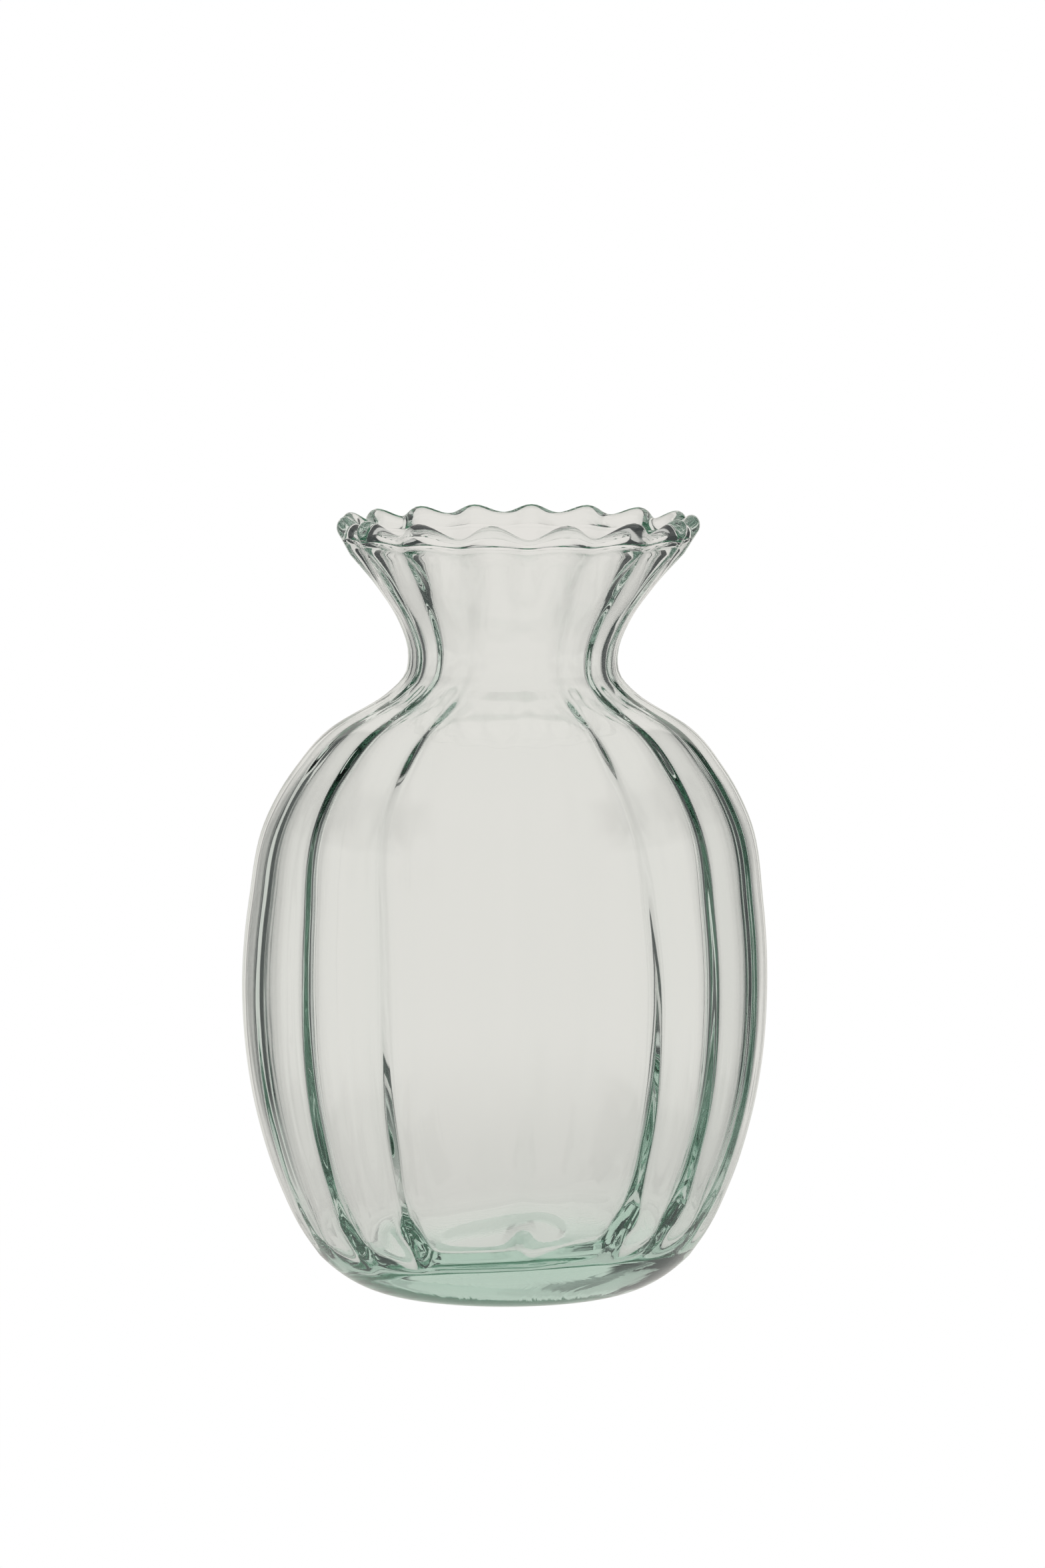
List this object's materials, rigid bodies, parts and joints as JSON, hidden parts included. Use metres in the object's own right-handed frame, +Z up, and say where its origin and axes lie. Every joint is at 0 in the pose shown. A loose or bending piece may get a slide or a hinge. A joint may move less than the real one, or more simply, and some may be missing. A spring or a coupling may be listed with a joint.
{
  "type": "glass vase",
  "caption": "Pouch-shaped clear glass vase with soft vertical ribs, a drawn-in neck and a flared mouth with a ruffled lip.",
  "frame": {"origin": "middle of the plane of the rest ring, under the body's axis", "axes": "+Z up along the body's axis, -Y towards the camera of the picture, +X to its right, the way the mouth leans"},
  "size_m": [0.1229, 0.1227, 0.1819],
  "materials": {
    "glass": "clear fire-polished glass with a faint sea-green tint, stronger where it is thick"
  },
  "bodies": {
    "root": {"foot": "glass", "body": "glass", "shoulder": "glass", "neck": "glass", "mouth": "glass", "lip": "glass"}
  },
  "joints": []
}
